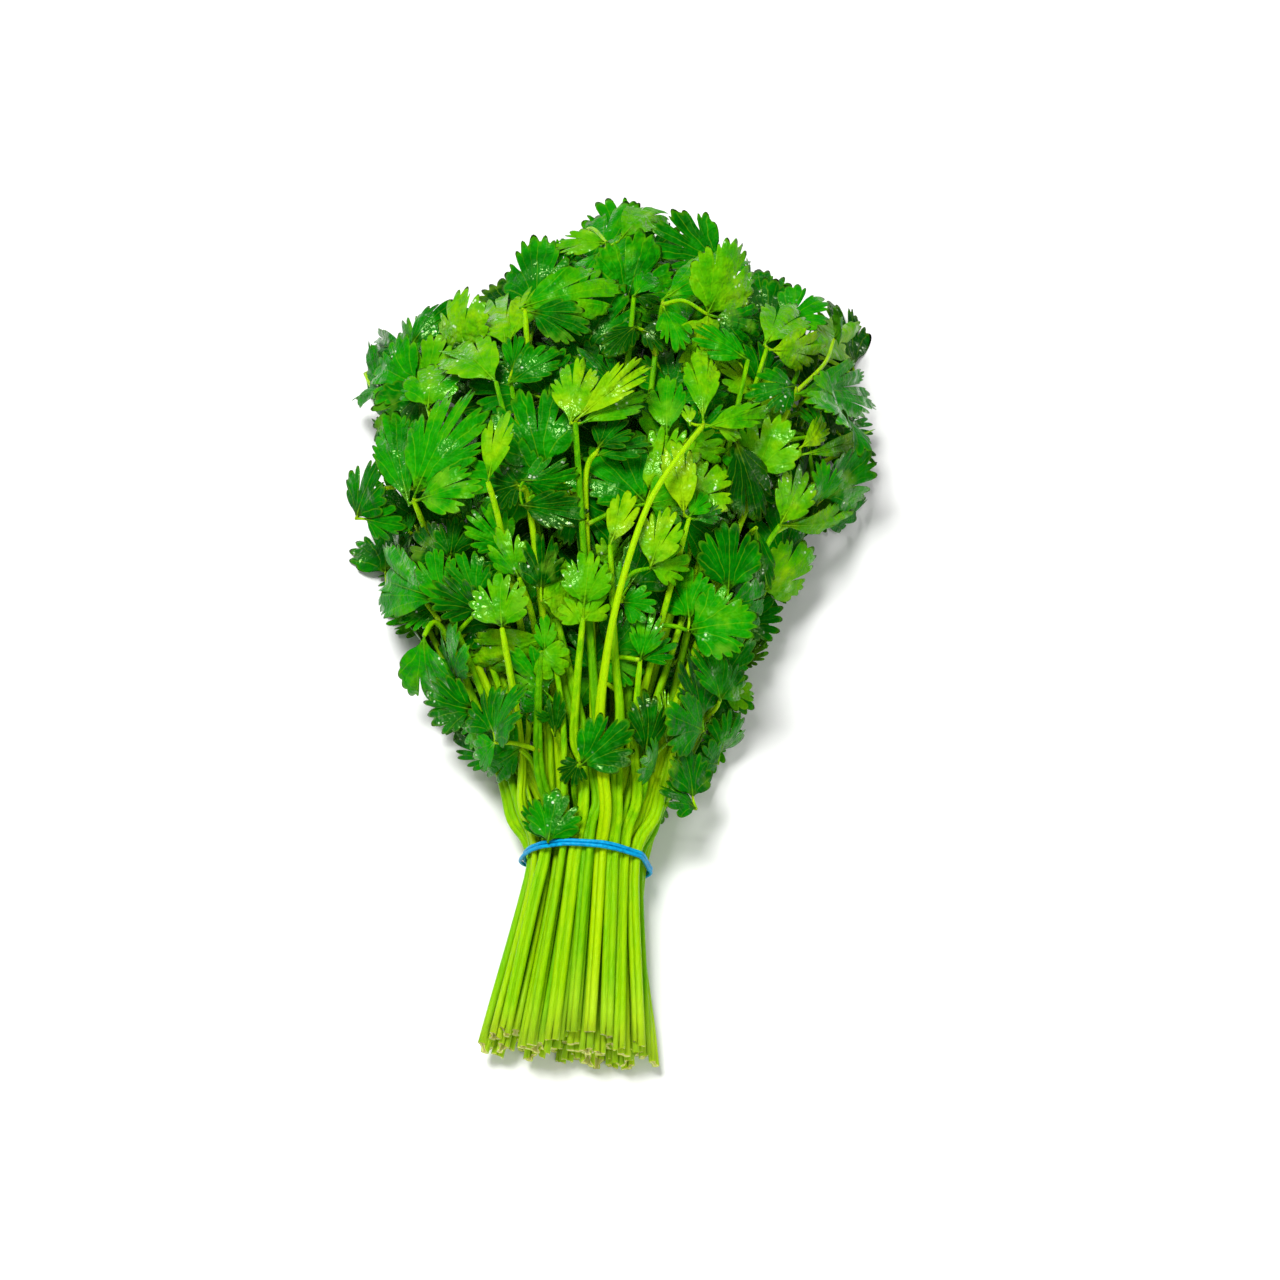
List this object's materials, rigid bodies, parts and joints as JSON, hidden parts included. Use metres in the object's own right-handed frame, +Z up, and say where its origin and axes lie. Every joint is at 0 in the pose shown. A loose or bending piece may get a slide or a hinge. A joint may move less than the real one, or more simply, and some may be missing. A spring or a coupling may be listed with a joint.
{
  "type": "coriander bunch",
  "caption": "Fresh-cut coriander sprigs with lobed leaves, gathered by a wound elastic band and lying on their side.",
  "frame": {"origin": "centre of the bounding box on the surface the bunch lies on", "axes": "+Y along the stems towards the leaf tips, cut ends at -Y; +X across the bunch; +Z up from the surface"},
  "size_m": [0.1624, 0.2876, 0.078],
  "materials": {
    "coriander": "moist fresh leaf and stem, satin with wet glints",
    "elastic_band": "smooth satin rubber"
  },
  "bodies": {
    "root": {"sprig_01": "coriander", "sprig_02": "coriander", "sprig_03": "coriander", "sprig_04": "coriander", "sprig_05": "coriander", "sprig_06": "coriander", "sprig_07": "coriander", "sprig_08": "coriander", "sprig_09": "coriander", "sprig_10": "coriander", "sprig_11": "coriander", "sprig_12": "coriander", "sprig_13": "coriander", "sprig_14": "coriander", "sprig_15": "coriander", "sprig_16": "coriander", "sprig_17": "coriander", "sprig_18": "coriander", "sprig_19": "coriander", "sprig_20": "coriander", "sprig_21": "coriander", "sprig_22": "coriander", "sprig_23": "coriander", "sprig_24": "coriander", "sprig_25": "coriander", "sprig_26": "coriander", "sprig_27": "coriander", "sprig_28": "coriander", "sprig_29": "coriander", "sprig_30": "coriander", "sprig_31": "coriander", "sprig_32": "coriander", "sprig_33": "coriander", "sprig_34": "coriander", "sprig_35": "coriander", "sprig_36": "coriander", "sprig_37": "coriander", "sprig_38": "coriander", "sprig_39": "coriander", "sprig_40": "coriander", "sprig_41": "coriander", "sprig_42": "coriander", "sprig_43": "coriander", "sprig_44": "coriander", "sprig_45": "coriander", "sprig_46": "coriander", "sprig_47": "coriander", "sprig_48": "coriander", "sprig_49": "coriander", "sprig_50": "coriander", "sprig_51": "coriander", "sprig_52": "coriander", "sprig_53": "coriander", "sprig_54": "coriander", "sprig_55": "coriander", "sprig_56": "coriander", "sprig_57": "coriander", "sprig_58": "coriander", "elastic_band": "elastic_band"}
  },
  "joints": []
}
